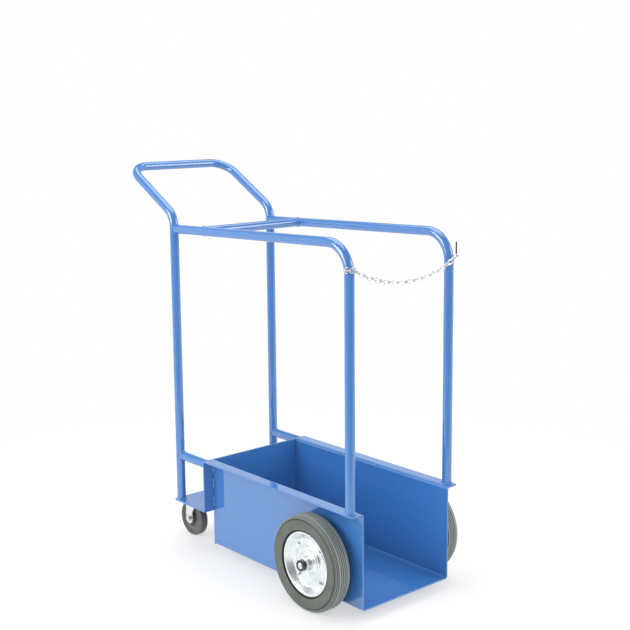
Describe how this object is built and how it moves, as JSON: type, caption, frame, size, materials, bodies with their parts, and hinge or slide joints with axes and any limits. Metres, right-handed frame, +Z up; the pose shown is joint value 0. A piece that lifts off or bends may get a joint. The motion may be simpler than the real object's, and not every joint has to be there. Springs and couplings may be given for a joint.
{
  "type": "gas cylinder trolley",
  "caption": "Blue steel trolley with an open-fronted tray, tube frame with push handle, large front wheels, swivel castors and a chain, for wheeling standing gas cylinders.",
  "frame": {"origin": "on the ground, under the middle of the bounding box", "axes": "+X forward to the open front of the tray, +Y to the left, +Z up"},
  "size_m": [1.0235, 0.4896, 1.1441],
  "materials": {
    "blue_paint": "semi-gloss blue enamel",
    "zinc_plate": "bright zinc plate",
    "dark_steel": "blackened steel",
    "tyre_rubber": "matt solid rubber",
    "castor_rubber": "matt grey rubber",
    "grey_plastic": "moulded grey plastic",
    "nylon": "natural nylon"
  },
  "bodies": {
    "frame": {"tray_floor": "blue_paint", "side_panel_left": "blue_paint", "side_panel_right": "blue_paint", "rear_wall": "blue_paint", "castor_platform": "blue_paint", "rear_post_left": "blue_paint", "rear_post_right": "blue_paint", "push_handle": "blue_paint", "side_rail_left": "blue_paint", "side_rail_right": "blue_paint", "lower_stub_left": "blue_paint", "lower_stub_right": "blue_paint", "cross_tube": "blue_paint", "stub_axle_left": "zinc_plate", "stub_axle_right": "zinc_plate", "axle_washers_left": "zinc_plate", "axle_washers_right": "zinc_plate", "axle_collar_left": "dark_steel", "axle_collar_right": "dark_steel", "castor_race_left": "zinc_plate", "castor_race_right": "zinc_plate", "castor_balls_left": "zinc_plate", "castor_balls_right": "zinc_plate", "castor_stud_left": "zinc_plate", "castor_stud_right": "zinc_plate", "castor_nut_left": "zinc_plate", "castor_nut_right": "zinc_plate", "chain_eye": "zinc_plate", "chain_hook": "zinc_plate", "chain_end_links": "zinc_plate"},
    "front_wheel_left": {"tyre_left": "tyre_rubber", "outer_disc_left": "zinc_plate", "inner_disc_left": "zinc_plate", "hub_left": "zinc_plate", "hub_bushes_left": "nylon", "disc_rivets_left": "zinc_plate"},
    "castor_swivel_left": {"castor_fork_left": "zinc_plate", "castor_axle_left": "zinc_plate", "castor_axle_nut_left": "zinc_plate", "castor_sleeve_left": "zinc_plate"},
    "castor_wheel_left": {"castor_core_left": "grey_plastic", "castor_tread_left": "castor_rubber"},
    "front_wheel_right": {"tyre_right": "tyre_rubber", "outer_disc_right": "zinc_plate", "inner_disc_right": "zinc_plate", "hub_right": "zinc_plate", "hub_bushes_right": "nylon", "disc_rivets_right": "zinc_plate"},
    "castor_swivel_right": {"castor_fork_right": "zinc_plate", "castor_axle_right": "zinc_plate", "castor_axle_nut_right": "zinc_plate", "castor_sleeve_right": "zinc_plate"},
    "castor_wheel_right": {"castor_core_right": "grey_plastic", "castor_tread_right": "castor_rubber"},
    "chain": {"chain_span": "zinc_plate"}
  },
  "joints": [
    {"name": "front_wheel_left_spin", "type": "hinge", "parent": "frame", "child": "front_wheel_left", "pos_m": [0.3553, 0.204, 0.13], "axis": [0, 1, 0], "continuous": true},
    {"name": "castor_left_turn", "type": "hinge", "parent": "frame", "child": "castor_swivel_left", "pos_m": [-0.2527, 0.112, 0.12], "axis": [0, 0, 1], "continuous": true},
    {"name": "castor_left_roll", "type": "hinge", "parent": "castor_swivel_left", "child": "castor_wheel_left", "pos_m": [-0.3027, 0.112, 0.055], "axis": [0, 1, 0], "continuous": true},
    {"name": "front_wheel_right_spin", "type": "hinge", "parent": "frame", "child": "front_wheel_right", "pos_m": [0.3553, -0.204, 0.13], "axis": [0, 1, 0], "continuous": true},
    {"name": "castor_right_turn", "type": "hinge", "parent": "frame", "child": "castor_swivel_right", "pos_m": [-0.2527, -0.112, 0.12], "axis": [0, 0, 1], "continuous": true},
    {"name": "castor_right_roll", "type": "hinge", "parent": "castor_swivel_right", "child": "castor_wheel_right", "pos_m": [-0.3027, -0.112, 0.055], "axis": [0, 1, 0], "continuous": true},
    {"name": "chain_swing", "type": "hinge", "parent": "frame", "child": "chain", "pos_m": [0.5046, 0, 0.90816], "axis": [0, 1, 0], "range_deg": [-30, 30]}
  ]
}
